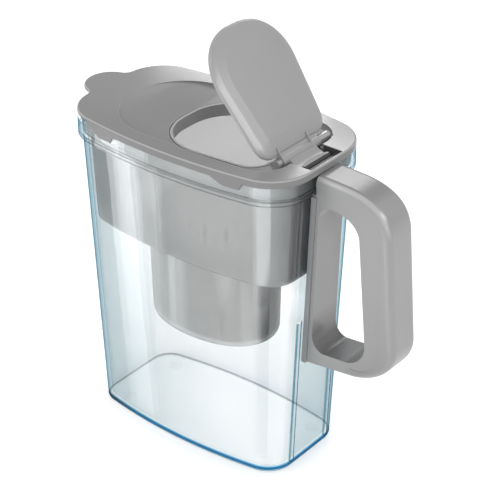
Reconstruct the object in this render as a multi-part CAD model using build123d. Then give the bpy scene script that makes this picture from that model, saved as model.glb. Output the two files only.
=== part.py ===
from build123d import *
from collections import namedtuple
import os

# Water filter pitcher. Millimetres, +Z up, spout towards -X, handle towards +X.
# The origin is on the table, midway between the spout's tip and the back of the handle.

Footprint = namedtuple(
    "Footprint",
    "spout_x handle_x half_spout half_handle bulge corner_spout corner_handle end_spout end_handle",
)

# Outline of the jug at its base and of the lid's edge
base_outline = Footprint(-107.4, 58.9, 36.3, 37.0, 8.8, 13.0, 16.3, 0.5, 0.5)
lid_outline = Footprint(-117.0, 71.4, 48.0, 47.1, 10.35, 21.2, 24.4, 5.0, 1.2)
corner_fullness = 0.58

# How a rounded lower edge curves: inset and rise, as shares of its radius
foot_curve = ((0.75, 0.0), (0.25, 0.3), (0.0, 1.0))

# How far a block runs into what it joins or past what it cuts, and half the width of a full cut
overlap = 1.0
cut_margin = 20.0
across = 80.0

# How near a point lies to an edge to count as on it
on_edge = 0.01

# Jug
foot_drop = 0.6
wall = 2.8
floor_thickness = 3.4
base_round = 1.6
collar_foot_z = 224.0
collar_step = 3.0
collar_wall = 3.0
ledge_web = 2.8
rim_z = 240.8
skirt_foot_z = 237.7
skirt_thickness = 1.3
skirt_gap = 0.3
rail_y = 20.0
rail_width = 6.0
rail_height = 1.2
rail_top_z = 125.0
rail_foot_z = 6.0
rail_root = 1.5

# Feet under the base
foot_radius = 4.8
foot_pocket = 1.0
foot_gap = 0.05
foot_y = 26.4
foot_handle_x = 42.6
foot_spout_x = -88.0

# Pouring spout
nose_radius = 18.8
nose_reach = 16.5
nose_notch = 7.0
nose_x = lid_outline.spout_x - lid_outline.end_spout - nose_reach + nose_radius
spout_wall = 2.4
spout_floor = 3.6
spout_lip_z = 236.4
spout_lip_x = nose_x - 1.5
spout_foot_z = 196.0
spout_foot_x = -106.0
spout_foot_radius = 6.0
pour_channel_radius = 15.0
pour_channel_x = lid_outline.spout_x - lid_outline.end_spout

# Handle: side view of the grip, from its root on the jug round to its heel
handle_top_z = 237.4
handle_low_z = 88.0
shoulder_x = 92.0
shoulder_z = 236.7
grip_corner_x = 131.3
grip_corner_z = 235.2
grip_top_x = 132.2
grip_top_z = 204.5
grip_low_x = 138.3
grip_low_z = 125.4
heel_corner_x = 139.1
heel_corner_z = 99.6
heel_x = 106.3
heel_z = 92.8
grip_fullness = 0.68
heel_fullness = 0.59
seam_corner_z = 99.4
seam_foot_x = 104.0
seam_foot_z = 100.0
seam_end_x = 99.0
core_start_x = 84.0

# Handle: the hole for the fingers
hole_low_x = 71.6
hole_low_z = 114.0
hole_high_x = 75.0
hole_high_z = 206.0
hole_top_x = 86.0
hole_top_z = 217.0
hole_shoulder_x = 108.2
hole_shoulder_z = 200.0
hole_heel_x = 115.2
hole_heel_z = 122.0
hole_floor_x = 97.0
hole_floor_z = 103.6
hole_toe_x = 82.0
hole_toe_z = 102.2

# Handle: shells, backplate and screw
handle_width = 28.3
handle_round = 5.0
seam_depth = 7.7
seam_low_depth = 12.8
seam_step = 0.4
shell_wall = 3.0
backplate_thickness = 3.6
backplate_width = 30.0
backplate_low_z = 90.0
backplate_high_z = 222.0
wall_gap = 0.2
dovetail_depth = 2.4
dovetail_width = 12.0
dovetail_flare = 1.5
dovetail_stop = 6.0
anchor_length = 13.0
anchor_width = 9.0
anchor_height = 7.0
anchor_lift = 3.0
screw_shank_radius = 1.5
screw_head_radius = 2.9
screw_head_height = 2.0
screw_length = 12.0
screw_lift = 1.0

# Lid
lid_top_z = 243.0
lid_round = 1.4
tab_foot_z = 233.0
tab_starts = (-93.0, 16.5)
tab_slope_length = 10.5
tab_length = 25.0
tab_return = 2.6
tab_pocket_drop = 2.0
skirt_start_x = -93.0
recess_outline = Footprint(-95.5, 54.5, 43.6, 41.0, 3.2, 43.0, 20.0, 0.0, 0.0)
recess_depth = 3.0
recess_ramp_end_x = -50.0
pan_thickness = 2.0
rib_thickness = 1.4
rib_foot_z = 235.5
rib_start_x = -85.0
rib_end_x = 56.6
slot_end_x = 71.0
slot_floor_z = 239.4
slot_wall = 1.2
slot_gap = 0.4
well_half = 17.4
well_spout_x = 46.0
well_handle_x = 64.9
well_step_x = 61.0
well_step_z = 232.0
well_floor_z = 226.0
well_wall = 1.8

# Inlet collar round the fill opening
inlet_outline = Footprint(-45.0, 39.2, 40.8, 33.4, 1.0, 35.0, 13.0, 1.8, 0.0)
inlet_wall = 1.8
inlet_rise = 0.2
inlet_foot_z = 231.0
inlet_flange = 2.2
inlet_flange_height = 1.6
groove_width = 0.9

# Flip cover and its hinge
open_angle = 53.2
hinge_x = 47.5
hinge_z = 242.0
cover_outline = Footprint(-45.6, 43.1, 41.9, 34.6, 0.3, 36.0, 11.6, 2.0, 0.0)
cover_thickness = 3.4
cover_lift = 1.0
cover_skin = 2.0
cover_rim = 2.0
liner_thickness = 1.6
liner_gap = 0.15
barrel_radius = 3.8
barrel_half = 20.0
barrel_gap = 0.7
trough_end_gap = 1.5
lever_half = 14.0
cheek_start_x = 38.0
cheek_end_x = 49.2
cheek_far_y = 11.0
cheek_near_y = -20.0
cheek_width = 1.3
cheek_height = 1.4
pad_half = 13.4
pad_depth = 5.6
pad_rise = 0.8
knuckle_radius = 3.2
knuckle_start = 20.6
knuckle_length = 11.0
near_knuckle_length = 4.0
pin_radius = 1.5
pin_clearance = 0.05
pin_start = 9.0
pin_end = 29.3
near_pin_end = 23.6
pin_end_gap = 0.2

# Rise of the cover from its edge to its crown: distance in from the edge, and height over it
cover_curve = ((0.0, -2.0), (0.6, -1.0), (2.0, -0.2), (5.0, 0.5), (12.0, 1.2), (25.0, 1.5))

# Side view of the thumb lever with the cover closed: its two faces, measured from the hinge
lever_front = ((1.0, 3.5), (4.8, 4.5), (8.1, 6.9), (10.3, 11.6))
lever_back = ((12.0, 11.1), (9.7, 5.7), (3.5, 1.4))

# Hopper that hangs in the jug
hopper_gap = 0.45
hopper_wall = 1.8
hopper_floor_z = 156.0
hopper_floor_thickness = 2.0
hopper_edge = 1.8
hopper_top_gap = 0.6
hopper_side_gap = 1.2
hopper_spout_setback = 1.5
sleeve_x = -24.7
sleeve_half_length = 50.6
sleeve_half_width = 33.9
sleeve_draft = 1.7
sleeve_foot_z = 84.0
sleeve_round = 4.0
sleeve_flare = 4.5
sleeve_flare_height = 6.3
sleeve_wall = 1.8
oval_fullness = 0.61
drain_inset = 9.0

# Filter cartridge
cartridge_gap = 0.5
cartridge_wall = 1.5
cartridge_floor_z = 88.5
flange_width = 5.0
flange_thickness = 1.8
cap_edge = 2.0
dome_height = 23.0
dome_inset = 19.0
dome_curve = ((0.0, 0.0), (0.12, 0.45), (0.3, 0.72), (0.62, 0.93), (1.0, 1.0))
seal_height = 3.0
seal_drop = 5.0
seal_depth = 0.9
seal_gap = 0.3
screen_thickness = 0.8
bed_top_z = 148.0
bed_gap = 0.1
drain_count = 9
drain_pitch = 7.5
drain_width = 2.0
drain_length = 28.0
slot_count = 14
slot_width = 2.4
slot_height = 7.8
slot_length = 30.0
slot_reach = 38.0
slot_lift = 12.0
loop_radius = 9.0
loop_wire = 1.6
loop_sink = 1.0


def shrink(outline, inset):
    """The same outline with every side moved in by one distance."""
    return outline._replace(
        spout_x=outline.spout_x + inset,
        handle_x=outline.handle_x - inset,
        half_spout=outline.half_spout - inset,
        half_handle=outline.half_handle - inset,
        corner_spout=max(outline.corner_spout - inset, 1.0),
        corner_handle=max(outline.corner_handle - inset, 1.0),
    )


def between(first, second, share):
    """An outline part of the way from one outline to another."""
    return Footprint(*(a + (b - a) * share for a, b in zip(first, second)))


def half_width(outline, x):
    """Half the width of an outline at one place along the jug."""
    share = (x - outline.spout_x) / (outline.handle_x - outline.spout_x)
    straight = outline.half_spout + (outline.half_handle - outline.half_spout) * share
    return straight + outline.bulge * 4 * share * (1 - share)


def end_edge(end_x, end_bulge, half, corner, direction):
    """One end of an outline, from its -Y corner to its +Y corner."""
    reach = half - corner
    tip = end_x + direction * end_bulge
    side = tip - direction * end_bulge * (reach / half) ** 2
    if end_bulge == 0:
        return Line((side, -reach), (side, reach))
    return ThreePointArc((side, -reach), (tip, 0), (side, reach))


def corner_edge(start, corner, end, fullness=corner_fullness):
    """A rounded corner that leaves and arrives along the two sides."""
    start, corner, end = Vector(*start), Vector(*corner), Vector(*end)
    first = start + (corner - start) * fullness
    second = end + (corner - end) * fullness
    return Bezier(start, first, second, end)


def plan(outline, z=0.0):
    """The face inside an outline, at one height."""
    x_first = outline.spout_x + outline.corner_spout
    x_last = outline.handle_x - outline.corner_handle
    x_middle = (x_first + x_last) / 2
    spout_end = end_edge(outline.spout_x, outline.end_spout, outline.half_spout, outline.corner_spout, -1)
    handle_end = end_edge(outline.handle_x, outline.end_handle, outline.half_handle, outline.corner_handle, 1)
    edges = [spout_end, handle_end]
    for side in (-1, 1):
        first = (x_first, side * half_width(outline, x_first))
        middle = (x_middle, side * half_width(outline, x_middle))
        last = (x_last, side * half_width(outline, x_last))
        edges.append(ThreePointArc(first, middle, last))
        spout_point = spout_end @ (0 if side < 0 else 1)
        handle_point = handle_end @ (0 if side < 0 else 1)
        spout_corner = (outline.spout_x, side * outline.half_spout)
        handle_corner = (outline.handle_x, side * outline.half_handle)
        edges.append(corner_edge((spout_point.X, spout_point.Y), spout_corner, first))
        edges.append(corner_edge(last, handle_corner, (handle_point.X, handle_point.Y)))
    return Pos(0, 0, z) * make_face(edges)


def oval(a, b, z=0.0):
    """A full-sided oval centred on the cartridge sleeve, by its half length and half width."""
    k = oval_fullness
    quarters = []
    for sx, sy in ((1, 1), (-1, 1), (-1, -1), (1, -1)):
        start, end = (sx * a, 0), (0, sy * b)
        first = (sx * a, sy * b * k)
        second = (sx * a * k, sy * b)
        quarters.append(Bezier(start, first, second, end))
    return Pos(sleeve_x, 0, z) * make_face(quarters)


def prism(face, low, high):
    """A straight block of one plan between two heights."""
    return extrude(Pos(0, 0, low) * face, amount=high - low, dir=(0, 0, 1))


def cone_of(outlines):
    """A block whose plan changes evenly between the heights given."""
    return loft([plan(outline, z) for outline, z in outlines], ruled=True)


def box(x0, x1, y0, y1, z0, z1):
    """A block between two corners."""
    return Pos((x0 + x1) / 2, (y0 + y1) / 2, (z0 + z1) / 2) * Box(x1 - x0, y1 - y0, z1 - z0)


def side_plate(points, half):
    """A plate drawn in the XZ plane, as wide as given on each side of the middle."""
    face = Plane.XZ * make_face(Polyline(*points, close=True))
    return extrude(face, amount=half, both=True)


def rod(x, z, y0, y1, radius):
    """A round bar along Y."""
    return Pos(x, (y0 + y1) / 2, z) * Rot(90, 0, 0) * Cylinder(radius, abs(y1 - y0))


def bundle(shapes):
    """Separate solids kept together as one piece."""
    return Compound(children=[shape.solids()[0] for shape in shapes])


def opened(shape):
    """A piece of the flip cover, turned from closed to the angle it stands at."""
    axis = Pos(hinge_x, 0, hinge_z)
    return axis * Rot(0, open_angle, 0) * axis.inverse() * shape


def wall_outline(z, inset=0.0):
    """Outline of the tapered wall at one height, or of a surface inside it."""
    top = shrink(lid_outline, collar_step)
    share = (z - foot_drop) / (collar_foot_z - foot_drop)
    return shrink(between(base_outline, top, share), inset)


def wall_x(z):
    """Where the outside of the handle end stands at one height, in the middle."""
    outline = wall_outline(z)
    return outline.handle_x + outline.end_handle


ledge_z = collar_foot_z + ledge_web
floor_z = foot_drop + floor_thickness
recess_z = lid_top_z - recess_depth
pan_under_z = recess_z - pan_thickness
cover_low_z = recess_z + cover_lift
cover_high_z = cover_low_z + cover_thickness
inlet_top_z = recess_z + inlet_rise


def spout_cone(inset, low_z, high_z):
    """The flaring spout, or the channel inside it."""
    lower = Pos(spout_foot_x, 0, low_z) * Circle(spout_foot_radius - inset / 2)
    upper = Pos(nose_x, 0, high_z) * Circle(nose_radius - skirt_thickness - skirt_gap - inset)
    return loft([lower, upper], ruled=True)


def tab_shape(x_start, grow=0.0):
    """Side view of one lid tab: a long slope, a flat foot and a short return."""
    x_end = x_start + tab_length
    return [
        (x_start - grow, rim_z),
        (x_start - grow, skirt_foot_z - grow),
        (x_start + tab_slope_length - grow, tab_foot_z - grow),
        (x_end - tab_return + grow, tab_foot_z - grow),
        (x_end + grow, skirt_foot_z - grow),
        (x_end + grow, rim_z),
    ]


def tab_zone(grow=0.0):
    """The four places along the sides where the lid's tabs reach down."""
    zones = [side_plate(tab_shape(x, grow), lid_outline.half_spout * 2) for x in tab_starts]
    return zones[0] + zones[1]


def dovetail(clearance=0.0):
    """The rail on the handle end, as a block that leans with the wall."""
    half = dovetail_width / 2 + clearance
    depth = dovetail_depth + clearance
    faces = []
    for z in (backplate_low_z - clearance, backplate_high_z - dovetail_stop + clearance):
        root_x = wall_x(z) - overlap
        tip_x = wall_x(z) + depth
        narrow = half - dovetail_flare
        points = [(root_x, narrow), (tip_x, half), (tip_x, -half), (root_x, -narrow)]
        faces.append(Pos(0, 0, z) * make_face(Polyline(*points, close=True)))
    return loft(faces, ruled=True)


def wall_block(inset, low_z, high_z):
    """The tapered block of the jug's wall, or the hollow in it, with a rounded lower edge."""
    levels = []
    for run, rise in foot_curve:
        z = low_z + base_round * rise
        levels.append((wall_outline(z, inset + base_round * run), z))
    return cone_of(levels + [(wall_outline(high_z, inset), high_z)])


def make_jug():
    """Clear jug: tapered wall, flush collar, pouring spout and the rails of the handle end."""
    body = wall_block(0.0, foot_drop, collar_foot_z)
    body += prism(plan(lid_outline), collar_foot_z, skirt_foot_z - skirt_gap)
    lip = shrink(lid_outline, skirt_thickness + skirt_gap)
    body += prism(plan(lip), collar_foot_z, rim_z)
    body += spout_cone(0.0, spout_foot_z, rim_z)
    body += dovetail()
    for side in (-1, 1):
        body += end_rail(side)
    body -= wall_block(wall, floor_z, ledge_z)
    body -= prism(plan(shrink(lid_outline, collar_wall)), ledge_z, rim_z)
    body -= spout_cone(spout_wall, spout_foot_z + spout_floor, rim_z)
    body -= box(-2 * across, spout_lip_x, -across, across, spout_lip_z, rim_z)
    pocket_low_z = tab_foot_z - tab_pocket_drop
    pockets = prism(plan(lid_outline), pocket_low_z, rim_z) - prism(plan(lip), pocket_low_z, rim_z)
    body -= pockets & tab_zone(skirt_gap)
    body -= rim_notch()
    for pocket in foot_discs(foot_drop + foot_pocket, foot_gap):
        body -= pocket
    return body


def end_rail(side):
    """A raised rail with a rounded top, low on the handle end."""
    faces = []
    for z in (rail_foot_z, rail_top_z):
        root_x = wall_x(z) - rail_root
        top_x = wall_x(z) + rail_height
        near, far = rail_y - rail_width / 2, rail_y + rail_width / 2
        points = [
            (root_x, side * near),
            (top_x, side * (near + rail_height)),
            (top_x, side * (far - rail_height)),
            (root_x, side * far),
        ]
        faces.append(Pos(0, 0, z) * make_face(Polyline(*points, close=True)))
    return loft(faces, ruled=True)


def foot_discs(top_z, clearance=0.0):
    """The round pads under the four corners of the base, or their pockets."""
    discs = []
    for x in (foot_handle_x, foot_spout_x):
        for y in (-foot_y, foot_y):
            discs.append(Pos(x, y, top_z / 2) * Cylinder(foot_radius + clearance, top_z))
    return discs


def grip_edges(inset=0.0):
    """The grip's edges from its shoulder to its heel, or the same a distance inside."""
    shoulder = (shoulder_x, shoulder_z - inset)
    top_corner = (grip_corner_x - inset, grip_corner_z - inset)
    grip_top = (grip_top_x - inset, grip_top_z)
    grip_low = (grip_low_x - inset, grip_low_z)
    low_corner = (heel_corner_x - inset, heel_corner_z + inset)
    heel = (heel_x, heel_z + inset)
    return [
        corner_edge(shoulder, top_corner, grip_top, grip_fullness),
        Line(grip_top, grip_low),
        corner_edge(grip_low, low_corner, heel, heel_fullness),
    ]


def handle_outside():
    """Outer side view of the handle, from the jug's wall round the grip."""
    low_x = wall_x(handle_low_z) + wall_gap
    high_x = wall_x(collar_foot_z) + wall_gap
    step_z = collar_foot_z - wall_gap
    root_x = lid_outline.handle_x + lid_outline.end_handle + wall_gap
    edges = [
        Line((low_x, handle_low_z), (high_x, step_z)),
        Line((high_x, step_z), (root_x, step_z)),
        Line((root_x, step_z), (root_x, handle_top_z)),
        Line((root_x, handle_top_z), (shoulder_x, shoulder_z)),
        Line((heel_x, heel_z), (low_x, handle_low_z)),
    ]
    return Plane.XZ * make_face(edges + grip_edges())


def handle_seam():
    """Side view of all that lies inside the seam between the two handle shells."""
    left_x = wall_x(handle_low_z) - cut_margin
    below_z = handle_low_z - cut_margin
    top_z = handle_top_z - seam_depth
    top_corner = grip_edges(seam_depth)[0]
    low = (grip_low_x - seam_low_depth, grip_low_z)
    low_corner = (heel_corner_x - seam_low_depth, seam_corner_z)
    foot = (seam_foot_x, seam_foot_z)
    edges = [
        Line((left_x, below_z), (left_x, top_z)),
        Line((left_x, top_z), (shoulder_x, shoulder_z - seam_depth)),
        top_corner,
        Line(top_corner @ 1, low),
        corner_edge(low, low_corner, foot, grip_fullness),
        Line(foot, (seam_end_x, handle_low_z)),
        Line((seam_end_x, handle_low_z), (seam_end_x, below_z)),
        Line((seam_end_x, below_z), (left_x, below_z)),
    ]
    return Plane.XZ * make_face(edges)


def finger_hole(grow=0.0):
    """Side view of the hole for the fingers, or of the same a distance wider."""
    g = grow
    low_left, high_left = (hole_low_x - g, hole_low_z), (hole_high_x - g, hole_high_z)
    top, shoulder = (hole_top_x, hole_top_z + g), (hole_shoulder_x + g, hole_shoulder_z)
    low_right = (hole_heel_x + g, hole_heel_z)
    floor_right, floor_left = (hole_floor_x, hole_floor_z - g), (hole_toe_x, hole_toe_z - g)
    edges = [
        Line(low_left, high_left),
        corner_edge(high_left, (high_left[0], top[1]), top),
        corner_edge(top, (shoulder[0], top[1]), shoulder),
        Line(shoulder, low_right),
        corner_edge(low_right, (low_right[0], floor_right[1]), floor_right),
        Line(floor_right, floor_left),
        corner_edge(floor_left, (low_left[0], floor_left[1]), low_left),
    ]
    return Plane.XZ * make_face(edges)


def slab(face, half):
    """A side view thickened evenly to both sides."""
    return extrude(face, amount=half, both=True)


def handle_core():
    """The hollow inside the two shells, round the grip."""
    slope = (heel_z - handle_low_z) / (heel_x - wall_x(handle_low_z))
    high = (core_start_x, shoulder_z - shell_wall)
    low = (core_start_x, heel_z + shell_wall - slope * (heel_x - core_start_x))
    edges = grip_edges(shell_wall)
    edges += [Line(high, (shoulder_x, shoulder_z - shell_wall)), Line((heel_x, heel_z + shell_wall), low)]
    edges.append(Line(low, high))
    core = slab(Plane.XZ * make_face(edges), handle_width / 2 - shell_wall)
    return core - slab(finger_hole(shell_wall), handle_width)


def rounded_block(face, half, radius):
    """A side view thickened to both sides, with its outer edges rounded over."""
    block = slab(face, half)
    rims = [edge for edge in block.edges() if abs(abs(edge.center().Y) - half) < on_edge]
    root_x = lid_outline.handle_x + lid_outline.end_handle + overlap
    return fillet([edge for edge in rims if edge.center().X > root_x], radius)


def make_handle_outer():
    """Outer handle shell: the C-shaped back of the grip, with rounded edges."""
    block = rounded_block(handle_outside(), handle_width / 2, handle_round)
    shell = block - slab(handle_seam(), handle_width) - handle_core()
    return largest(shell)


def make_handle_inner():
    """Inner handle shell: the post against the jug and the lining round the finger hole."""
    block = rounded_block(handle_outside(), handle_width / 2, handle_round)
    block &= slab(handle_seam(), handle_width / 2 - seam_step)
    block -= slab(finger_hole(), handle_width)
    block -= handle_core()
    block -= backplate_block(wall_gap)
    block -= anchor_block(wall_gap)
    block -= screw_body(wall_gap, cut_margin)
    return largest(block)


def largest(shape):
    """The biggest solid of a shape, without slivers that a cut may leave."""
    return max(shape.solids(), key=lambda solid: solid.volume)


def backplate_block(grow=0.0):
    """The plate behind the post, which leans with the wall."""
    low, high = backplate_low_z - grow, backplate_high_z + grow
    thick = backplate_thickness + grow
    points = [
        (wall_x(low) + wall_gap, low),
        (wall_x(low) + wall_gap + thick, low),
        (wall_x(high) + wall_gap + thick, high),
        (wall_x(high) + wall_gap, high),
    ]
    return side_plate(points, backplate_width / 2 + grow)


def anchor_block(grow=0.0):
    """The foot of the backplate that the screw goes into."""
    x = wall_x(backplate_low_z) + wall_gap + backplate_thickness
    low = backplate_low_z + anchor_lift
    half = anchor_width / 2 + grow
    return box(x - overlap, x + anchor_length + grow, -half, half, low - grow, low + anchor_height + grow)


def screw_axis_x():
    """Where the screw stands, in the middle of the backplate's foot."""
    return wall_x(backplate_low_z) + wall_gap + backplate_thickness + anchor_length / 2


def screw_body(clearance, tail=0.0):
    """The screw from below, or with a tail the hole that its head goes in by."""
    x = screw_axis_x()
    head_top = backplate_low_z + screw_lift
    head_low = head_top - screw_head_height - tail
    shank_top = head_top + screw_length - screw_head_height
    head = prism(Pos(x, 0) * Circle(screw_head_radius + clearance), head_low, head_top)
    shank = prism(Pos(x, 0) * Circle(screw_shank_radius + clearance), head_top, shank_top)
    return head + shank


def make_backplate():
    """Handle backplate: slides down over the jug's rail and carries the handle."""
    plate = backplate_block() + anchor_block()
    plate -= dovetail(wall_gap)
    bore = Pos(screw_axis_x(), 0) * Circle(screw_shank_radius)
    return largest(plate - prism(bore, backplate_low_z, backplate_low_z + cut_margin))


def nose_face():
    """The lid's nose over the spout, with soft notches where it meets the lid's end."""
    tip = Pos(nose_x, 0) * Circle(nose_radius)
    whole = plan(lid_outline) + tip
    middle = Vector(nose_x, 0, 0)
    corners = [
        vertex
        for vertex in whole.vertices()
        if abs((Vector(vertex.X, vertex.Y, 0) - middle).length - nose_radius) < on_edge
    ]
    return fillet(corners, nose_notch)


def recess_cut(inset=0.0):
    """The shallow dish in the lid, which fades out towards the spout."""
    outline = shrink(recess_outline, inset)
    depth = recess_z - inset
    above = lid_top_z + overlap
    block = prism(plan(outline), depth, above)
    profile = [
        (outline.spout_x, above),
        (outline.spout_x, lid_top_z),
        (recess_ramp_end_x, depth),
        (outline.handle_x, depth),
        (outline.handle_x, above),
    ]
    return block & side_plate(profile, outline.half_spout * 2)


def make_lid():
    """Lid: edge with skirt and tabs, nose, dish, hinge lugs and the well for the lever."""
    top = prism(nose_face(), rim_z, lid_top_z)
    lid = fillet(top.edges().group_by(Axis.Z)[-1], lid_round)
    skirt = prism(plan(lid_outline), tab_foot_z, rim_z)
    skirt -= prism(plan(shrink(lid_outline, skirt_thickness)), tab_foot_z, rim_z)
    band = box(skirt_start_x, across, -across, across, skirt_foot_z, rim_z)
    lid += skirt & (band + tab_zone())
    lid += prism(plan(shrink(recess_outline, -pan_thickness)), pan_under_z, rim_z)
    lid += locating_rib()
    lid += well_block(well_wall)
    lid += thumb_slot(slot_wall, rim_z)
    lid += trough_block(well_wall)
    lid -= recess_cut()
    lid -= prism(plan(shrink(inlet_outline, -inlet_wall - groove_width)), inlet_foot_z, lid_top_z)
    lid -= thumb_slot(0.0, lid_top_z + overlap)
    lid -= trough_block(0.0)
    lid -= well_block(0.0)
    for lug in hinge_lugs():
        lid += lug
    for bore in pin_rods(knuckle_start - overlap, 0.0, pin_radius + pin_clearance):
        lid -= bore
    return largest(lid)


def pin_rods(start, trim, radius):
    """The long far hinge pin and the short near one, or their bores, from one distance outwards."""
    far = rod(hinge_x, hinge_z, start, pin_end - trim, radius)
    near = rod(hinge_x, hinge_z, trim - near_pin_end, -start, radius)
    return [far, near]


def locating_rib():
    """The rib under the lid that drops inside the hopper's rim, along the two sides."""
    gap = collar_wall + hopper_gap + hopper_wall + hopper_gap
    outer = plan(shrink(lid_outline, gap))
    inner = plan(shrink(lid_outline, gap + rib_thickness))
    rib = prism(outer, rib_foot_z, rim_z) - prism(inner, rib_foot_z, rim_z)
    return rib & box(rib_start_x, rib_end_x, -across, across, rib_foot_z, rim_z)


def well_block(grow):
    """The well behind the hinge that the thumb lever swings down into."""
    half = well_half + grow
    top = rim_z if grow else lid_top_z + overlap
    start = well_spout_x - grow
    upper = box(start, well_handle_x + grow, -half, half, well_step_z - grow, top)
    lower = box(start, well_step_x + grow, -half, half, well_floor_z - grow, well_step_z + overlap)
    return upper + lower


def thumb_slot(grow, top):
    """The shallow slot that carries the well on to the lid's edge."""
    half = well_half + grow
    return box(well_spout_x, slot_end_x + grow, -half, half, slot_floor_z - grow, top)


def rim_notch():
    """The notch in the rims under the lid that leaves room for the thumb slot."""
    half = well_half + slot_wall + slot_gap
    low = slot_floor_z - slot_wall - slot_gap
    return box(well_spout_x, slot_end_x + cut_margin, -half, half, low, rim_z + overlap)


def trough_block(grow):
    """The trough that the hinge barrel lies in."""
    reach = barrel_radius + barrel_gap + grow
    near = -knuckle_start - near_knuckle_length - grow
    far = knuckle_start + knuckle_length + trough_end_gap + grow
    top = rim_z if grow else lid_top_z + overlap
    return box(hinge_x - reach, hinge_x + reach, near, far, hinge_z - reach, top)


def hinge_lug(start, end):
    """A lug that stands in the trough between two places along the hinge."""
    low = hinge_z - barrel_radius - barrel_gap - overlap
    foot = box(hinge_x - knuckle_radius, hinge_x + knuckle_radius, start, end, low, hinge_z)
    return rod(hinge_x, hinge_z, start, end, knuckle_radius) + foot


def hinge_lugs():
    """The long far lug and the short near one, which hold the hinge pins."""
    far = hinge_lug(knuckle_start, knuckle_start + knuckle_length)
    near = hinge_lug(-knuckle_start - near_knuckle_length, -knuckle_start)
    return [far, near]


def make_hinge_pins():
    """The two pins that the flip cover turns on."""
    return bundle(pin_rods(pin_start, pin_end_gap, pin_radius))


def make_inlet_collar():
    """Inlet collar: the ring round the fill opening, held under the lid by its flange."""
    outer = plan(shrink(inlet_outline, -inlet_wall))
    ring = prism(outer, inlet_foot_z, inlet_top_z)
    flange = plan(shrink(inlet_outline, -inlet_wall - inlet_flange))
    flange_block = prism(flange, pan_under_z - inlet_flange_height, pan_under_z)
    trough_side_x = hinge_x - barrel_radius - barrel_gap - well_wall
    ring += flange_block & box(-across, trough_side_x - wall_gap, -across, across, 0, lid_top_z)
    return ring - prism(plan(inlet_outline), inlet_foot_z, inlet_top_z)


def crown_block(outline, low_z, edge_z):
    """The cover's body, which rises from its edge to a gentle crown."""
    sections = [(outline, low_z)]
    for inset, rise in cover_curve:
        sections.append((shrink(outline, inset), edge_z + rise))
    return cone_of(sections)


def lever():
    """The thumb lever behind the hinge: a scooped blade that stands up when the cover is closed."""
    edges = [
        Spline(*lever_front),
        Line(lever_front[-1], lever_back[0]),
        Spline(*lever_back),
        Line(lever_back[-1], lever_front[0]),
    ]
    return Pos(hinge_x, 0, hinge_z) * slab(Plane.XZ * make_face(edges), lever_half)


def thumb_pad():
    """The half-round pad that stands proud of the lever's face, with its flat side along the tip."""
    root = Vector(lever_front[-2][0], 0, lever_front[-2][1])
    tip = Vector(lever_front[-1][0], 0, lever_front[-1][1])
    place = Plane(origin=tip, x_dir=(0, 1, 0), z_dir=Vector(0, 1, 0).cross(root - tip))
    outline = Ellipse(pad_half, pad_depth) & Pos(0, pad_depth / 2) * Rectangle(2 * pad_half, pad_depth)
    return Pos(hinge_x, 0, hinge_z) * extrude(place * outline, amount=pad_rise, both=True)


def make_flip_cover():
    """Flip cover: crowned shell, hinge barrel, thumb lever with its pad, and two cheeks."""
    cover = crown_block(cover_outline, cover_low_z, cover_high_z)
    cavity = plan(shrink(cover_outline, cover_rim))
    cover -= prism(cavity, cover_low_z, cover_high_z - cover_skin)
    bridge_x = cover_outline.handle_x - cover_rim / 2
    cover += box(bridge_x, hinge_x, -barrel_half, barrel_half, cover_low_z + overlap, cover_high_z)
    cover += rod(hinge_x, hinge_z, -barrel_half, barrel_half, barrel_radius)
    cover += lever()
    cover += thumb_pad()
    low, high = cover_high_z - overlap, cover_high_z + cheek_height
    for y in (cheek_near_y, cheek_far_y):
        cover += box(cheek_start_x, cheek_end_x, y, y + cheek_width, low, high)
    for bore in pin_rods(pin_start - pin_end_gap, 0.0, pin_radius + pin_clearance):
        cover -= bore
    return opened(largest(cover))


def make_cover_liner():
    """Liner plate that closes the underside of the flip cover."""
    outline = shrink(cover_outline, cover_rim + liner_gap)
    ceiling = cover_high_z - cover_skin
    plate = prism(plan(outline), ceiling - liner_thickness, ceiling)
    return opened(plate)


def hopper_band(inset):
    """Plan of the hopper's upper band at one distance in from the collar's inner face."""
    return plan(shrink(lid_outline, collar_wall + hopper_gap + inset))


def hopper_lower(z, inset):
    """Outline of the hopper's lower wall at one height."""
    outline = wall_outline(z, wall + hopper_side_gap + inset)
    return outline._replace(spout_x=outline.spout_x + hopper_spout_setback)


def pour_channel(grow):
    """The hollow at the hopper's spout end that lets the water past to the spout."""
    circle = Pos(pour_channel_x, 0) * Circle(pour_channel_radius + grow)
    return prism(circle, hopper_floor_z - overlap, rim_z)


def hopper_tank():
    """The tapered tank under the band, with its hollow taken out."""
    inside_z = hopper_floor_z + hopper_floor_thickness
    band_top = rim_z - hopper_top_gap
    outer = prism(hopper_band(0.0), ledge_z, band_top)
    outer += cone_of(
        [
            (hopper_lower(hopper_floor_z, hopper_edge), hopper_floor_z),
            (hopper_lower(hopper_floor_z + hopper_edge, 0.0), hopper_floor_z + hopper_edge),
            (hopper_lower(ledge_z, 0.0), ledge_z),
        ]
    )
    cavity = prism(hopper_band(hopper_wall), ledge_z + hopper_wall, band_top)
    cavity += cone_of(
        [
            (hopper_lower(inside_z, hopper_wall), inside_z),
            (hopper_lower(ledge_z + hopper_wall, hopper_wall), ledge_z + hopper_wall),
        ]
    )
    return (outer - pour_channel(0.0)) - (cavity - pour_channel(hopper_wall))


def sleeve_plan(z, inset=0.0, at=None):
    """Plan of the sleeve's outside for one height, or of a surface inside it."""
    low_z = sleeve_foot_z + sleeve_round
    grown = sleeve_draft * (z - low_z) / (cartridge_top_z - low_z) - inset
    return oval(sleeve_half_length + grown, sleeve_half_width + grown, z if at is None else at)


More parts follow.
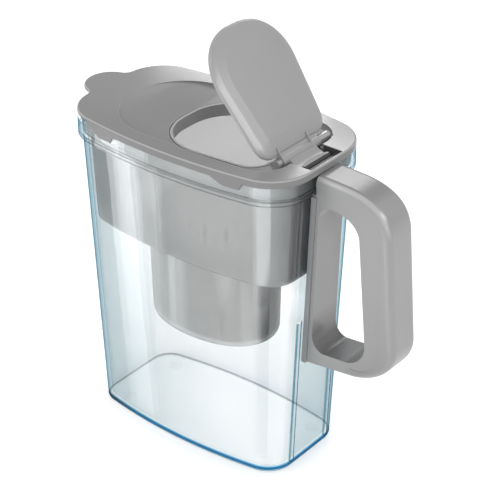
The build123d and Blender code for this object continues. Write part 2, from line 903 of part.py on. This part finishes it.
def sleeve_cone(low_z, high_z, inset):
    """A tapered block with the sleeve's draft between two heights."""
    return loft([sleeve_plan(high_z, inset), sleeve_plan(low_z, inset)], ruled=True)


def sleeve_block(z, inset, low, high):
    """A straight block with the sleeve's plan at one height."""
    return prism(sleeve_plan(z, inset, 0.0), low, high)


def make_hopper():
    """Hopper: band on the jug's ledge, tapered tank, and the sleeve that holds the cartridge."""
    low_z = sleeve_foot_z + sleeve_round
    root_z = hopper_floor_z + hopper_floor_thickness / 2
    flare_z = hopper_floor_z - sleeve_flare_height
    hopper = hopper_tank() + sleeve_cone(low_z, root_z, 0.0)
    hopper += loft([sleeve_plan(root_z, -sleeve_flare), sleeve_plan(flare_z)], ruled=True)
    foot = []
    for run, rise in foot_curve:
        foot.append(sleeve_plan(low_z, sleeve_round * run, sleeve_foot_z + sleeve_round * rise))
    hopper += loft(foot, ruled=True)
    hopper -= sleeve_cone(low_z, cartridge_top_z + overlap, sleeve_wall)
    hopper -= sleeve_block(low_z, drain_inset, sleeve_foot_z - overlap, low_z + overlap)
    hopper -= rim_notch()
    return largest(hopper)


cartridge_top_z = hopper_floor_z + hopper_floor_thickness
cartridge_inner_z = cartridge_floor_z + cartridge_wall
cartridge_inset = sleeve_wall + cartridge_gap + seal_gap + seal_depth
seal_top_z = cartridge_top_z - seal_drop
seal_low_z = seal_top_z - seal_height


def make_cartridge_cup():
    """Cartridge cup: tapered oval cup with a flange on top and slots in its floor."""
    flange_top = cartridge_top_z + flange_thickness
    inside = cartridge_inset + cartridge_wall
    cup = sleeve_cone(cartridge_floor_z, cartridge_top_z, cartridge_inset)
    cup += sleeve_block(cartridge_top_z, sleeve_wall - flange_width, cartridge_top_z, flange_top)
    cup -= sleeve_cone(cartridge_inner_z, cartridge_top_z, inside)
    cup -= sleeve_block(cartridge_top_z, inside, cartridge_top_z, flange_top)
    for step in range(drain_count):
        x = sleeve_x + (step - (drain_count - 1) / 2) * drain_pitch
        low, high = cartridge_floor_z - overlap, cartridge_inner_z + overlap / 2
        cup -= box(x - drain_width / 2, x + drain_width / 2, -drain_length / 2, drain_length / 2, low, high)
    return largest(cup)


def make_cartridge_seal():
    """Cartridge seal: the soft ring between the cup and the sleeve."""
    ring = sleeve_block(seal_low_z, sleeve_wall + seal_gap, seal_low_z, seal_top_z)
    return largest(ring - sleeve_cone(cartridge_floor_z, cartridge_top_z, cartridge_inset))


def cap_dome(inset):
    """The cap's dome, or the hollow in it."""
    low = cartridge_top_z + flange_thickness
    sections = []
    for run, rise in dome_curve:
        z = low + (dome_height - inset) * rise
        sections.append(sleeve_plan(cartridge_top_z, sleeve_wall + cap_edge + inset + dome_inset * run, z))
    return loft(sections, ruled=True)


def make_cartridge_cap():
    """Cartridge cap: a dome with slots round it and a pull loop on top."""
    low = cartridge_top_z + flange_thickness
    cap = cap_dome(0.0) - cap_dome(cartridge_wall)
    for index in range(slot_count):
        turn = Rot(0, 0, 360 / slot_count * (index + 0.5))
        place = Pos(sleeve_x, 0, low + slot_lift) * turn * Pos(slot_reach, 0, 0)
        cap -= place * Box(slot_length, slot_width, slot_height)
    loop_z = low + dome_height - loop_sink
    loop = Pos(sleeve_x, 0, loop_z) * Rot(90, 0, 0) * Torus(loop_radius, loop_wire)
    cap += loop & box(-across, across, -across, across, loop_z, loop_z + cut_margin)
    return largest(cap)


def bed_slice(low, high):
    """A slice of the cup's inside between two heights."""
    return sleeve_cone(low, high, cartridge_inset + cartridge_wall + bed_gap)


def make_parts():
    """Every piece of the pitcher by name."""
    screen_top = cartridge_inner_z + screen_thickness
    return {
        "jug_body": make_jug(),
        "base_feet": bundle(foot_discs(foot_drop + foot_pocket)),
        "handle_backplate": make_backplate(),
        "handle_inner_shell": make_handle_inner(),
        "handle_outer_shell": make_handle_outer(),
        "handle_screw": screw_body(0.0),
        "hopper": make_hopper(),
        "cartridge_cup": make_cartridge_cup(),
        "cartridge_cap": make_cartridge_cap(),
        "cartridge_seal": make_cartridge_seal(),
        "lower_screen": bed_slice(cartridge_inner_z, screen_top),
        "filter_media": bed_slice(screen_top, bed_top_z),
        "upper_screen": bed_slice(bed_top_z, bed_top_z + screen_thickness),
        "lid": make_lid(),
        "inlet_collar": make_inlet_collar(),
        "hinge_pins": make_hinge_pins(),
        "flip_cover": make_flip_cover(),
        "flip_cover_liner": make_cover_liner(),
    }


os.makedirs("parts", exist_ok=True)
for name, shape in make_parts().items():
    export_step(shape, f"parts/{name}.step")
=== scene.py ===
import bpy
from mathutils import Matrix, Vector

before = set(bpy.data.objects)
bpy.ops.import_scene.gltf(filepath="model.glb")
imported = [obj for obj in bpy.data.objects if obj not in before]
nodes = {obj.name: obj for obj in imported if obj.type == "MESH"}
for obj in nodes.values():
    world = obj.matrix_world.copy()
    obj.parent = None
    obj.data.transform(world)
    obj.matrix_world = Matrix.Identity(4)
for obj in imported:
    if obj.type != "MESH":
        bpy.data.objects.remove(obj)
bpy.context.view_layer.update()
scene = bpy.context.scene
scene.view_settings.view_transform = "Standard"

# How many faces of clear plastic a ray may pass
scene.cycles.transparent_max_bounces = 24


def link(o):
    scene.collection.objects.link(o)
    return o


# Directions and places on the part, in metres

TO_HANDLE = (1.0, 0.0, 0.0)
TO_FAR_SIDE = (0.0, 1.0, 0.0)
UP = (0.0, 0.0, 1.0)

lid_top_z = 0.2427
lid_rim_z = 0.2420
lid_gloss_near_y = -0.038
lid_gloss_far_y = -0.002
slot_start_x = 0.0550
slot_end_x = 0.0716
slot_half = 0.0178
pad_end_x = 0.0585
grip_hollow_low_z = 0.1017
grip_hollow_high_z = 0.1313
rail_start_x = 0.0560
rail_half = 0.0240
foot_pocket_top_z = 0.0021
pan_foot_z = 0.1500
collar_foot_z = 0.2200
collar_light_z = 0.2280
mirror_low_z = 0.003
mirror_high_z = 0.012
sleeve_direction = (1.0, 0.35, 0.0)

# How soft the edges of those places are

blur = 0.0005
fine_blur = 0.0002

# Limits on how far a face looks along a direction, 0 to 1

level_face = 0.97
end_wall_face = 0.96
rail_face = 0.7
pocket_wall_face = 0.005

# The jug's tapered wall looks down on its outside, and up where that outside is seen from within

near_wall_look = 0.005
far_wall_look = 0.01


# Materials

WHITE = (1.0, 1.0, 1.0, 1.0)
smoke_milkiness = 0.42


def grey(level):
    return (level, level, level, 1.0)


class Shade:
    """A node material under construction."""

    def __init__(self, name):
        self.material = bpy.data.materials.new(name)
        self.material.use_nodes = True
        self.tree = self.material.node_tree
        self.tree.nodes.clear()
        self.output = self.tree.nodes.new("ShaderNodeOutputMaterial")

    def add(self, kind, **values):
        """A node. A value called in_ something goes to that input, and any other to the node itself."""
        node = self.tree.nodes.new(kind)
        for key, value in values.items():
            if key.startswith("in_"):
                name = key[3:].replace("_", " ")
                target = node.inputs[int(name)] if name.isdigit() else node.inputs[name]
                if isinstance(value, bpy.types.NodeSocket):
                    self.tree.links.new(value, target)
                else:
                    target.default_value = value
            else:
                setattr(node, key, value)
        return node

    def shader(self, kind, **values):
        return self.add("ShaderNodeBsdf" + kind, **values).outputs[0]

    def blend(self, share, first, second):
        """Two shaders mixed, with the second one's share."""
        return self.add("ShaderNodeMixShader", in_0=share, in_1=first, in_2=second).outputs[0]

    def point(self):
        """A point of the piece in its own coordinates."""
        return self.add("ShaderNodeTexCoord").outputs["Object"]

    def noise(self, scale, detail, stretch=(1, 1, 1)):
        """Noise from 0 to 1 that is fixed to the piece."""
        place = self.add("ShaderNodeMapping", in_Vector=self.point(), in_Scale=stretch).outputs[0]
        node = self.add("ShaderNodeTexNoise", in_Vector=place, in_Scale=scale, in_Detail=detail)
        return node.outputs["Fac"]

    def ramp(self, fac, stops):
        """Colours at places from 0 to 1, blended in between."""
        node = self.add("ShaderNodeValToRGB", in_Fac=fac)
        ends = node.color_ramp.elements
        while len(ends) < len(stops):
            ends.new(0.5)
        for end, (place, colour) in zip(ends, stops):
            end.position = place
            end.color = colour if len(colour) == 4 else (*colour, 1.0)
        return node.outputs["Color"]

    def layers(self, direction, stops):
        """Colours at places in metres along one direction, blended in between."""
        low = stops[0][0]
        high = stops[-1][0]
        shares = [((place - low) / (high - low), colour) for place, colour in stops]
        return self.ramp(self.along(direction, low, high), shares)

    def spread(self, fac, low, high):
        """A share from 0 to 1 turned into a value from low to high."""
        return self.add("ShaderNodeMapRange", in_Value=fac, in_To_Min=low, in_To_Max=high).outputs["Result"]

    def bump(self, height, strength, distance):
        node = self.add("ShaderNodeBump", in_Height=height, in_Strength=strength, in_Distance=distance)
        return node.outputs["Normal"]

    def math(self, operation, a, b=0.0):
        return self.add("ShaderNodeMath", operation=operation, in_0=a, in_1=b).outputs[0]

    def dot(self, vector, direction):
        node = self.add("ShaderNodeVectorMath", operation="DOT_PRODUCT", in_0=vector, in_1=direction)
        return node.outputs["Value"]

    def facing(self):
        """0 where a face is seen square on, 1 where it is seen along."""
        return self.add("ShaderNodeLayerWeight", in_Blend=0.5).outputs["Facing"]

    def look(self, direction):
        """How far a face looks along one direction: -1 to 1."""
        return self.dot(self.add("ShaderNodeNewGeometry").outputs["Normal"], direction)

    def slope(self, direction):
        """How far a face looks along one direction, either way: 0 to 1."""
        return self.math("ABSOLUTE", self.look(direction))

    def behind(self):
        """1 on the side of a face that looks into its solid."""
        return self.add("ShaderNodeNewGeometry").outputs["Backfacing"]

    def unless(self, mask):
        """1 where a mask is 0."""
        return self.math("SUBTRACT", 1.0, mask)

    def all_of(self, *masks):
        """1 where every mask is 1."""
        whole = masks[0]
        for mask in masks[1:]:
            whole = self.math("MULTIPLY", whole, mask)
        return whole

    def along(self, direction, low, high):
        """0 to 1 between two places along one direction."""
        place = self.dot(self.point(), direction)
        node = self.add("ShaderNodeMapRange", in_Value=place, in_From_Min=low, in_From_Max=high)
        return node.outputs["Result"]

    def beyond(self, direction, place, edge=blur):
        """1 past a place along one direction. With an edge below zero, 1 short of it."""
        return self.along(direction, place, place + edge)

    def within(self, direction, low, high, edge=blur):
        """1 between two places along one direction."""
        return self.all_of(self.beyond(direction, low, edge), self.beyond(direction, high, -edge))

    def where(self, mask, colour, other=WHITE):
        """One colour inside a mask and another outside it."""
        return self.add("ShaderNodeMix", data_type="RGBA", in_0=mask, in_6=other, in_7=colour).outputs[2]

    def times(self, *colours):
        """Several colours multiplied."""
        whole = colours[0]
        for colour in colours[1:]:
            node = self.add("ShaderNodeMix", data_type="RGBA", blend_type="MULTIPLY", in_0=1.0)
            self.tree.links.new(whole, node.inputs[6])
            self.tree.links.new(colour, node.inputs[7])
            whole = node.outputs[2]
        return whole

    def sheen(self, face_on, edge_on):
        """How strongly a clear sheet mirrors the room, the same from either side of it."""
        return self.spread(self.math("POWER", self.facing(), 4.0), face_on, edge_on)

    def finish(self, shader):
        self.tree.links.new(shader, self.output.inputs["Surface"])
        return self.material


def plastic(name, level, rough, grain=900.0, depth=0.00003, marks=(), gloss=None):
    """Satin moulded plastic with a fine grain and faint clouds of tone.

    Each mark is a function that paints shade or highlights onto one place of the part, and gloss one that
    says how shiny it is."""
    s = Shade(name)
    fine = s.noise(grain, detail=2.0)
    cloud = s.noise(14.0, detail=4.0)
    tone = s.ramp(cloud, [(0.3, grey(level * 0.97)), (0.7, grey(level * 1.03))])
    tone = s.times(tone, *[mark(s) for mark in marks])
    shine = {"in_Specular_IOR_Level": gloss(s)} if gloss else {}
    return s.finish(
        s.shader(
            "Principled",
            in_Base_Color=tone,
            in_Roughness=s.spread(fine, rough - 0.04, rough + 0.05),
            in_Normal=s.bump(fine, strength=0.25, distance=depth),
            **shine,
        )
    )


def hollow_painted_shade(s):
    """Painted shade: the handle's inner shell is darker low inside its hole."""
    low = s.layers(UP, [(grip_hollow_low_z, grey(0.45)), (grip_hollow_high_z, grey(1.0))])
    lining = s.math("LESS_THAN", s.slope(TO_FAR_SIDE), 0.5)
    return s.where(lining, low)


def grip_painted_shade_and_highlight(s):
    """Painted light on the handle: painted shade darkens its level top and painted highlights lighten its
    rounded upper edges.
    """
    top = s.ramp(s.look(UP), [(0.85, grey(1.0)), (0.97, grey(0.7))])
    edge = s.ramp(
        s.slope(TO_FAR_SIDE),
        [(0.3, grey(1.0)), (0.45, grey(1.35)), (0.8, grey(1.35)), (0.95, grey(1.0))],
    )
    upper = s.ramp(s.look(UP), [(0.1, grey(0.0)), (0.3, grey(1.0))])
    return s.times(top, s.where(upper, edge))


def pad_painted_shade(s):
    """Painted shade: the end of the cover's thumb pad is darker where it faces into the slot."""
    end = s.all_of(s.beyond(TO_HANDLE, pad_end_x), s.math("LESS_THAN", s.look(UP), 0.35))
    return s.where(end, grey(0.4))


def slot_painted_shade(s):
    """Painted shade: the slot behind the hinge is darker than the lid round it."""
    inside = s.all_of(
        s.within(TO_HANDLE, slot_start_x, slot_end_x),
        s.within(TO_FAR_SIDE, -slot_half, slot_half, fine_blur),
        s.beyond(UP, lid_top_z, -2 * fine_blur),
    )
    return s.where(inside, grey(0.3))


def edge_painted_highlight(s):
    """Painted highlights: the rounded and the sharp edges of the lid are lighter than its faces."""
    bevel = s.add("ShaderNodeBevel", samples=6, in_Radius=0.001).outputs["Normal"]
    return s.ramp(
        s.dot(bevel, UP),
        [(0.3, grey(1.0)), (0.5, grey(1.7)), (0.85, grey(1.7)), (0.95, grey(1.0))],
    )


def rim_gloss(s):
    """The far half of the lid's rim has more gloss than its near half and the dish inside it."""
    rim = s.along(UP, lid_rim_z, lid_top_z)
    far_half = s.along(TO_FAR_SIDE, lid_gloss_near_y, lid_gloss_far_y)
    return s.spread(s.all_of(rim, far_half), low=0.08, high=0.65)


def clear_plastic(name):
    """Clear moulded plastic: see-through face on, teal where it is seen along, blue round the base, with
    painted shade along its silhouettes and rails and painted bands on its base edge.
    """
    s = Shade(name)
    behind = s.behind()
    level = s.math("GREATER_THAN", s.slope(UP), level_face)
    upright = s.unless(level)
    near_outside = s.all_of(s.unless(behind), upright, s.math("LESS_THAN", s.look(UP), near_wall_look))
    far_outside = s.all_of(behind, upright, s.math("GREATER_THAN", s.look(UP), far_wall_look))
    plain = s.math("MAXIMUM", level, foot_pocket(s))
    wall = s.where(near_outside, near_wall_tone(s), far_wall_tone(s))
    tint = s.times(
        s.where(plain, (0.992, 0.996, 0.998, 1), wall),
        base_stripes(s, near_outside, far_outside),
        collar_lines(s, upright),
        rail_sides(s),
    )
    see = s.shader("Transparent", in_Color=tint)
    mirror = s.ramp(s.facing(), [(0.45, (1, 1, 1)), (0.7, (0.6, 0.74, 0.8)), (1.0, (0.1, 0.28, 0.38))])
    gloss = s.shader("Glossy", in_Color=mirror, in_Roughness=0.006)
    share = s.all_of(s.sheen(face_on=0.04, edge_on=0.3), s.along(UP, mirror_low_z, mirror_high_z))
    return s.finish(s.blend(share, see, gloss))


def near_wall_tone(s):
    """The outside of the near wall: clear face on and teal seen along, the two end walls the clearer ones;
    the near-black teal at the silhouette is painted shade that stands in for the light the wall bends away.
    """
    long_wall = s.ramp(
        s.facing(),
        [
            (0.0, (0.82, 0.87, 0.875)),
            (0.14, (0.86, 0.90, 0.905)),
            (0.27, (0.935, 0.945, 0.95)),
            (0.34, (0.905, 0.915, 0.92)),
            (0.46, (0.725, 0.76, 0.77)),
            (0.55, (0.51, 0.59, 0.62)),
            (0.66, (0.34, 0.47, 0.53)),
            (0.76, (0.22, 0.38, 0.45)),
            (0.84, (0.06, 0.20, 0.28)),
            (1.0, (0.03, 0.13, 0.20)),
        ],
    )
    end_wall = s.ramp(
        s.facing(),
        [
            (0.2, (0.95, 0.958, 0.962)),
            (0.46, (0.85, 0.875, 0.88)),
            (0.66, (0.45, 0.57, 0.62)),
            (0.84, (0.06, 0.20, 0.28)),
        ],
    )
    return s.where(s.math("GREATER_THAN", s.slope(TO_HANDLE), end_wall_face), end_wall, long_wall)


def far_wall_tone(s):
    """The inside of the near wall and both sides of the far one, all paler than the outside."""
    return s.ramp(
        s.facing(),
        [
            (0.0, (0.975, 0.978, 0.98)),
            (0.34, (0.962, 0.968, 0.97)),
            (0.46, (0.875, 0.90, 0.905)),
            (0.6, (0.83, 0.865, 0.875)),
            (1.0, (0.86, 0.91, 0.925)),
        ],
    )


def rail_sides(s):
    """The sides of the two rails on the handle end, painted dark teal as shade for the light the rails bend
    away.
    """
    side = s.all_of(
        s.math("GREATER_THAN", s.slope(TO_FAR_SIDE), rail_face),
        s.beyond(TO_HANDLE, rail_start_x),
        s.within(TO_FAR_SIDE, -rail_half, rail_half, fine_blur),
    )
    return s.where(side, (0.24, 0.42, 0.50, 1))


def foot_pocket(s):
    """1 on the upright walls of the pockets under the base."""
    upright = s.math("LESS_THAN", s.slope(UP), pocket_wall_face)
    return s.all_of(upright, s.beyond(UP, foot_pocket_top_z, -fine_blur / 2))


def base_stripes(s, near_outside, far_outside):
    """The blue edge of the base on the near side, warmer at the spout, and its thin line on the far side: the
    plastic's own blue, with dark and pale stripes painted in as the shade and reflections of the rounded
    edge.
    """
    near = s.layers(
        UP,
        [
            (0.0006, (0.06, 0.22, 0.32)),
            (0.0014, (0.10, 0.29, 0.41)),
            (0.0017, (0.62, 0.80, 0.90)),
            (0.0023, (0.58, 0.78, 0.89)),
            (0.0027, (0.015, 0.14, 0.32)),
            (0.0046, (0.02, 0.20, 0.42)),
            (0.0057, (0.36, 0.64, 0.80)),
            (0.0072, (1, 1, 1)),
        ],
    )
    spout_end = s.layers(
        TO_HANDLE,
        [
            (-0.1030, (0.55, 0.42, 0.36)),
            (-0.0855, (1.0, 0.75, 0.6)),
            (-0.0680, (1.0, 1.0, 0.9)),
            (-0.0540, (1, 1, 1)),
        ],
    )
    below = s.layers(UP, [(0.0055, grey(1.0)), (0.0072, grey(0.0))])
    near = s.times(near, s.where(below, spout_end))
    far = s.layers(UP, [(0.0015, (0.5, 0.53, 0.55)), (0.0017, (1, 1, 1))])
    base = s.times(s.where(near_outside, near), s.where(far_outside, far))
    return s.where(foot_pocket(s), WHITE, base)


def collar_lines(s, upright):
    """The two thin dark lines where the collar meets the wall."""
    low_line = (0.50, 0.51, 0.52)
    high_line = (0.55, 0.56, 0.57)
    lines = s.layers(
        UP,
        [
            (0.2238, WHITE),
            (0.2242, low_line),
            (0.2248, low_line),
            (0.2252, WHITE),
            (0.2266, WHITE),
            (0.2270, high_line),
            (0.2276, high_line),
            (0.2280, WHITE),
        ],
    )
    return s.where(upright, lines)


def pad_plastic(name):
    """Clear soft plastic of the pads under the base."""
    s = Shade(name)
    cloud = s.noise(60.0, detail=2.0)
    see = s.shader("Transparent", in_Color=s.ramp(cloud, [(0.3, grey(0.98)), (0.7, grey(0.99))]))
    gloss = s.shader("Glossy", in_Color=WHITE, in_Roughness=s.spread(cloud, low=0.08, high=0.14))
    return s.finish(s.blend(s.sheen(face_on=0.01, edge_on=0.05), see, gloss))


def smoke_plastic(name):
    """Smoked see-through plastic of the hopper, with painted shade darkening the two ends of its pan."""
    s = Shade(name)
    cloud = s.noise(9.0, detail=3.0)
    tone = s.ramp(cloud, [(0.3, (0.73, 0.725, 0.72)), (0.7, (0.77, 0.765, 0.76))])
    sleeve = s.beyond(UP, pan_foot_z, -2 * blur)
    # Painted shade: the end walls of the pan are darker; the sleeve is left out.
    ends = s.ramp(s.slope(TO_HANDLE), [(0.3, grey(1.0)), (0.7, grey(0.84)), (0.98, (0.48, 0.48, 0.49))])
    ends = s.where(sleeve, WHITE, ends)
    tint = s.ramp(
        s.facing(),
        [(0.3, (0.885, 0.88, 0.875)), (0.7, grey(0.72)), (1.0, (0.12, 0.12, 0.13))],
    )
    see = s.shader("Transparent", in_Color=s.times(tint, ends, sleeve_shadow(s, sleeve)))
    solid = s.times(tone, ends, sleeve_painted_highlight_and_shade(s, sleeve), collar_painted_light(s))
    lit_from_front = s.shader("Diffuse", in_Color=solid)
    lit_from_behind = s.shader("Translucent", in_Color=solid)
    milk = s.blend(0.5, lit_from_front, lit_from_behind)
    gloss = s.shader("Glossy", in_Color=WHITE, in_Roughness=0.015)
    body = s.blend(smoke_milkiness, see, milk)
    return s.finish(s.blend(s.sheen(face_on=0.06, edge_on=0.3), body, gloss))


def sleeve_painted_highlight_and_shade(s, sleeve):
    """Painted light on the sleeve below the pan: two painted highlight bands, and painted shade at the end
    that faces the handle.
    """
    bands = s.layers(
        sleeve_direction,
        [
            (-0.0404, grey(1.3)),
            (-0.0327, grey(1.0)),
            (-0.0107, grey(1.0)),
            (-0.0030, grey(1.25)),
            (0.01845, grey(1.25)),
            (0.02175, grey(0.5)),
            (0.0300, grey(0.42)),
        ],
    )
    return s.where(sleeve, bands)


def sleeve_shadow(s, sleeve):
    """Painted shadow: what shows through the sleeve is darker at the end that faces the handle."""
    return s.where(sleeve, s.layers(sleeve_direction, [(0.0190, grey(1.0)), (0.0223, grey(0.6))]))


def collar_painted_light(s):
    """Painted light: the hopper is lighter inside the collar, lifting the shade the lid casts there."""
    return s.layers(UP, [(collar_foot_z, grey(1.0)), (collar_light_z, grey(1.45))])


def metal(name, level, rough):
    """Turned metal with fine lines round it."""
    s = Shade(name)
    lines = s.noise(600.0, detail=2.0, stretch=(1, 12, 1))
    return s.finish(
        s.shader(
            "Principled",
            in_Base_Color=s.ramp(lines, [(0.2, grey(level * 0.85)), (0.8, grey(level))]),
            in_Metallic=1.0,
            in_Roughness=s.spread(lines, rough - 0.08, rough + 0.08),
        )
    )


clear = clear_plastic("clear")
clear_pads = pad_plastic("clear_pads")
smoke = smoke_plastic("smoke_clear")
grey_satin = plastic("grey_satin", level=0.365, rough=0.3, marks=(pad_painted_shade,))
grey_handle = plastic("grey_handle", level=0.33, rough=0.3, marks=(grip_painted_shade_and_highlight,))
grey_lining = plastic("grey_lining", level=0.335, rough=0.34, marks=(hollow_painted_shade,))
grey_lid = plastic("grey_lid", level=0.255, rough=0.2, marks=(slot_painted_shade, edge_painted_highlight), gloss=rim_gloss)
grey_inner = plastic("grey_inner", level=0.31, rough=0.45)
white_shell = plastic("cartridge_white", level=0.72, rough=0.4)
rubber = plastic("seal_rubber", level=0.42, rough=0.6)
screen_cloth = plastic("screen_fabric", level=0.7, rough=0.8, grain=2500.0, depth=0.0001)
granules = plastic("filter_bed", level=0.05, rough=0.8, grain=1200.0, depth=0.0004)
steel = metal("steel", level=0.6, rough=0.3)

finishes = {
    "jug_body": clear,
    "base_feet": clear_pads,
    "handle_backplate": grey_inner,
    "handle_inner_shell": grey_lining,
    "handle_outer_shell": grey_handle,
    "handle_screw": steel,
    "hopper": smoke,
    "cartridge_cup": white_shell,
    "cartridge_cap": white_shell,
    "cartridge_seal": rubber,
    "lower_screen": screen_cloth,
    "filter_media": granules,
    "upper_screen": screen_cloth,
    "lid": grey_lid,
    "inlet_collar": grey_inner,
    "hinge_pins": steel,
    "flip_cover": grey_satin,
    "flip_cover_liner": grey_inner,
}
for name, material in finishes.items():
    node = nodes[name]
    node.data.materials.clear()
    node.data.materials.append(material)


# Room: a floor and a world that look white behind the object

floor_half = 4.0
floor_colour = grey(0.9)
floor_glow = 0.35
world_light = 0.85
world_mirrored = 0.5
world_seen = 1.0


def sheet(name, corners, material, unseen_by=()):
    """A flat piece of the room, which isn't part of the object."""
    mesh = bpy.data.meshes.new(name)
    mesh.from_pydata(corners, [], [tuple(range(len(corners)))])
    mesh.materials.append(material)
    o = link(bpy.data.objects.new(name, mesh))
    for rays in unseen_by:
        setattr(o, "visible_" + rays, False)


def floor_paint():
    """Pale paint, a little brighter where it is seen, so that the floor fades into the background."""
    s = Shade("floor")
    lit = s.shader("Diffuse", in_Color=floor_colour)
    glow = s.add("ShaderNodeEmission", in_Color=WHITE, in_Strength=floor_glow).outputs[0]
    both = s.add("ShaderNodeAddShader", in_0=lit, in_1=glow).outputs[0]
    path = s.add("ShaderNodeLightPath").outputs
    seen = s.math("MAXIMUM", path["Is Camera Ray"], path["Is Glossy Ray"])
    seen = s.math("MAXIMUM", seen, path["Is Transmission Ray"])
    return s.finish(s.blend(seen, lit, both))


def white_world():
    """White behind the object, an even light on it, and a dimmer room in its reflections."""
    world = bpy.data.worlds.new("room")
    scene.world = world
    world.use_nodes = True
    tree = world.node_tree
    tree.nodes.clear()
    path = tree.nodes.new("ShaderNodeLightPath").outputs
    seen = tree.nodes.new("ShaderNodeMath")
    seen.operation = "MAXIMUM"
    tree.links.new(path["Is Camera Ray"], seen.inputs[0])
    tree.links.new(path["Is Transmission Ray"], seen.inputs[1])
    sky = world_glow(tree, world_light)
    for strength, rays in ((world_mirrored, path["Is Glossy Ray"]), (world_seen, seen.outputs[0])):
        mix = tree.nodes.new("ShaderNodeMixShader")
        tree.links.new(rays, mix.inputs[0])
        tree.links.new(sky, mix.inputs[1])
        tree.links.new(world_glow(tree, strength), mix.inputs[2])
        sky = mix.outputs[0]
    out = tree.nodes.new("ShaderNodeOutputWorld")
    tree.links.new(sky, out.inputs["Surface"])


def world_glow(tree, strength):
    node = tree.nodes.new("ShaderNodeBackground")
    node.inputs["Color"].default_value = WHITE
    node.inputs["Strength"].default_value = strength
    return node.outputs[0]


sheet(
    "floor",
    [
        (-floor_half, -floor_half, 0),
        (floor_half, -floor_half, 0),
        (floor_half, floor_half, 0),
        (-floor_half, floor_half, 0),
    ],
    floor_paint(),
)
white_world()


# Cards: bright sheets that show only as reflections

card_floor_gap = 0.0006


def card(name, corners, strength, away=None, fade=(-0.06, -0.28)):
    """A bright card, which may change to another strength between two places in front of the jug."""
    s = Shade(name)
    if away is not None:
        strength = s.spread(s.along(TO_FAR_SIDE, *fade), strength, away)
    glow = s.add("ShaderNodeEmission", in_Color=WHITE, in_Strength=strength).outputs[0]
    sheet(name, corners, s.finish(glow), ("camera", "diffuse", "transmission", "volume_scatter", "shadow"))


def floor_card(name, corners, strength, **change):
    """A card that lies on the floor."""
    card(name, [(x, y, card_floor_gap) for x, y in corners], strength, **change)


# The long wall of the jug mirrors the floor at its left, brightest in the left band
left_band_near = (-0.056, -0.052)
left_band_far = (-0.455, -0.353)
floor_card(
    "card_left",
    [(-0.084, -0.050), left_band_near, left_band_far, (-0.5165, -0.296)],
    2.4,
    away=6.5,
)
floor_card(
    "card_left_soft",
    [left_band_near, (-0.040, -0.052), (-0.3875, -0.3995), left_band_far],
    0.9,
    away=3.0,
)

# The same wall mirrors the floor at its right, away from the foot only
floor_card(
    "card_right",
    [(0.038, -0.056), (0.060, -0.050), (0.3975, -0.5125), (-0.1095, -0.536)],
    0.0,
    away=3.0,
    fade=(-0.18, -0.26),
)

# The lid's level top mirrors a card behind it, and the rounded near edges one in front
card("card_back", [(-0.345, 0.3, 0.33), (-0.15, 0.3, 0.33), (-0.15, 0.3, 0.42), (-0.345, 0.3, 0.39)], 6.5)
card(
    "card_edge",
    [(-0.69, -0.42, 0.84), (-0.42, -0.67, 0.84), (-0.38, -0.63, 1.04), (-0.65, -0.38, 1.04)],
    9.0,
)

# The open cover mirrors two cards that meet beyond the handle
cover_seam_low = (0.90, 0.14, 0.66)
cover_seam_high = (0.84, 0.14, 0.98)
card("card_cover", [(0.75, -0.36, 0.66), cover_seam_low, cover_seam_high, (0.69, -0.36, 0.98)], 9.0)
card("card_cover_soft", [cover_seam_low, (0.74, 0.46, 0.62), (0.68, 0.44, 0.94), cover_seam_high], 8.0)


# Lamps

jug_middle = (0, 0, 0.15)
lid_middle = (0.05, 0, 0.24)


def softbox(name, place, aim, width, height, power):
    """A rectangular lamp that points at one place."""
    lamp = bpy.data.lights.new(name, "AREA")
    lamp.shape = "RECTANGLE"
    lamp.size = width
    lamp.size_y = height
    lamp.energy = power
    o = link(bpy.data.objects.new(name, lamp))
    o.location = place
    o.rotation_mode = "QUATERNION"
    o.rotation_quaternion = (Vector(place) - Vector(aim)).to_track_quat("Z", "Y")


softbox("key_left", (-0.75, -1.1, 0.75), jug_middle, width=0.35, height=1.1, power=4.0)
softbox("key_right", (0.95, -0.55, 0.55), jug_middle, width=0.14, height=1.0, power=2.0)
softbox("top_back", (-0.22, 0.50, 0.62), lid_middle, width=0.22, height=0.12, power=0.8)


# Camera, fitted to the photograph's perspective

camera_sensor = 36.0
camera_lens = 133.5
camera_aim = Vector((0.0065, 0.0, 0.1514))
camera_side = Vector((0.5356, -0.6729, 0.5102)).normalized()
camera_distance = 1.2931

camera = link(bpy.data.objects.new("camera", bpy.data.cameras.new("camera")))
camera.data.sensor_width = camera_sensor
camera.data.lens = camera_lens
camera.data.clip_start = 0.01
camera.data.clip_end = 50.0
camera.location = camera_aim + camera_side * camera_distance
camera.rotation_mode = "QUATERNION"
camera.rotation_quaternion = (-camera_side).to_track_quat("-Z", "Y")
scene.camera = camera
